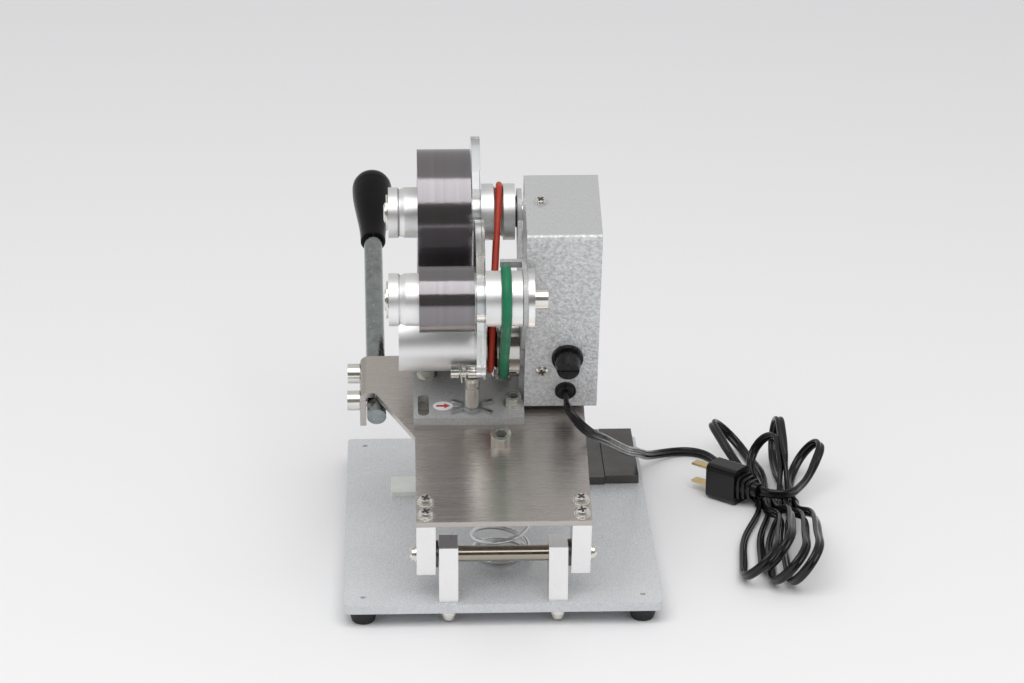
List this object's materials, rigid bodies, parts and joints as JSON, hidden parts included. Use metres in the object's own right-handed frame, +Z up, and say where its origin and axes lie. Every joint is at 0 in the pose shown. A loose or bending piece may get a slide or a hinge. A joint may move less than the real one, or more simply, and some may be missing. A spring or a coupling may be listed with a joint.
{
  "type": "hot foil stamping machine",
  "caption": "Manual bench hot foil stamping machine: sprung lever arm with foil reels, belts, feed drum, control box and heated type head over a flat base with a silicone pad.",
  "frame": {"origin": "centre of the machine's footprint, cord left out, on the table under the rubber feet", "axes": "+X along the hinge towards the control box's side, +Y from the hinge to the operator, +Z up"},
  "size_m": [0.3265, 0.3567, 0.2741],
  "materials": {
    "hammertone": "hammertone paint",
    "bracket_paint": "hammertone paint, darker",
    "stainless": "brushed sheet",
    "aluminium": "machined, satin",
    "nickel": "nickel plated",
    "zinc": "zinc plated",
    "dark_steel": "dark coated",
    "rod_steel": "ground",
    "rubber": "matte",
    "phenolic": "glossy",
    "acrylic": "clear",
    "foil": "glossy film",
    "red_rubber": "satin",
    "green_rubber": "satin",
    "silicone": "satin",
    "brass": "polished",
    "insulation": "laminate",
    "cord": "satin",
    "black_plastic": "satin",
    "red_plastic": "glossy"
  },
  "bodies": {
    "base": {"base_plate": "hammertone", "rubber_feet": "rubber", "base_screws": "nickel", "hinge_posts": "aluminium", "return_spring": "zinc", "spring_seat": "zinc", "print_pad": "silicone", "table_plates": "dark_steel", "cord_lead": "cord", "cord_hank": "cord", "cord_tie": "cord", "plug_body": "cord", "plug_blades": "brass"},
    "arm": {"arm_plate": "stainless", "hinge_blocks": "aluminium", "hinge_rod": "rod_steel", "thrust_washers": "dark_steel", "pan_screws": "nickel", "socket_screws": "nickel", "spring_bolt": "nickel", "handle_rod": "zinc", "handle_grip": "phenolic", "handle_bolts": "nickel", "reel_bracket": "bracket_paint", "feed_nut": "zinc", "axles": "nickel", "axle_washer": "aluminium", "axle_screws": "nickel", "red_belt": "red_rubber", "green_belt": "green_rubber", "foil_web": "foil", "foil_guides": "nickel", "insulator": "insulation", "heater_block": "aluminium", "heater_cartridges": "nickel", "box_cover": "hammertone", "box_side": "hammertone", "fuse_holder": "black_plastic", "cord_grommet": "black_plastic", "switch_frame": "black_plastic"},
    "back_reel": {"back_roller": "aluminium", "back_disc": "acrylic", "back_pulley": "aluminium", "back_foil": "foil"},
    "front_reel": {"front_roller": "aluminium", "front_disc": "acrylic", "front_pulley": "aluminium", "front_foil": "foil"},
    "drum": {"feed_drum": "aluminium", "drum_sleeve": "aluminium", "drive_pulley": "nickel"},
    "push_pin": {"push_rod": "nickel"},
    "lever": {"feed_lever": "stainless", "feed_bolt": "nickel", "feed_spring": "zinc"},
    "fuse": {"fuse_cap": "black_plastic"},
    "rocker": {"switch_rocker": "red_plastic"},
    "knob": {"heat_knob": "black_plastic"},
    "holder": {"type_holder": "brass", "type_pieces": "brass"}
  },
  "joints": [
    {"name": "arm_hinge", "type": "hinge", "parent": "base", "child": "arm", "pos_m": [0, -0.153, 0.0453], "axis": [1, 0, 0], "range_deg": [-18, 0], "stiffness_Nm_per_rad": 9.8, "springref_deg": 23.78, "deforming": ["return_spring", "cord_lead"]},
    {"name": "drum_spin", "type": "hinge", "parent": "arm", "child": "drum", "pos_m": [0, -0.06785, 0.1554], "axis": [1, 0, 0], "continuous": true},
    {"name": "back_reel_spin", "type": "hinge", "parent": "arm", "child": "back_reel", "pos_m": [0, -0.12985, 0.20707], "axis": [1, 0, 0], "continuous": true},
    {"name": "front_reel_spin", "type": "hinge", "parent": "arm", "child": "front_reel", "pos_m": [0, -0.02378, 0.22555], "axis": [1, 0, 0], "continuous": true},
    {"name": "push_slide", "type": "slide", "parent": "arm", "child": "push_pin", "axis": [0, -0.309, 0.9511], "range_m": [0, 0.006]},
    {"name": "lever_swing", "type": "hinge", "parent": "arm", "child": "lever", "pos_m": [0, -0.06785, 0.1554], "axis": [1, 0, 0], "range_deg": [-13.75, 0], "deforming": ["feed_spring"]},
    {"name": "fuse_turn", "type": "hinge", "parent": "arm", "child": "fuse", "pos_m": [0.0424, -0.08992, 0.15149], "axis": [0, -0.9511, -0.309], "range_deg": [0, 90]},
    {"name": "rocker_tip", "type": "hinge", "parent": "arm", "child": "rocker", "pos_m": [0.04, -0.04827, 0.22653], "axis": [1, 0, 0], "range_deg": [-8, 8]},
    {"name": "knob_turn", "type": "hinge", "parent": "arm", "child": "knob", "pos_m": [0.04, -0.0303, 0.17769], "axis": [0, 0.9511, 0.309], "range_deg": [0, 270]},
    {"name": "type_slide", "type": "slide", "parent": "arm", "child": "holder", "axis": [-1, 0, 0], "range_m": [0, 0.04]}
  ],
  "couplings": [
    {"joint": "back_reel_spin", "follows": "drum_spin", "ratio": 1.2295},
    {"joint": "front_reel_spin", "follows": "drum_spin", "ratio": 1.1429},
    {"joint": "push_slide", "follows": "arm_hinge", "m_per_rad": -0.019099},
    {"joint": "lever_swing", "follows": "arm_hinge", "ratio": 0.76389}
  ]
}
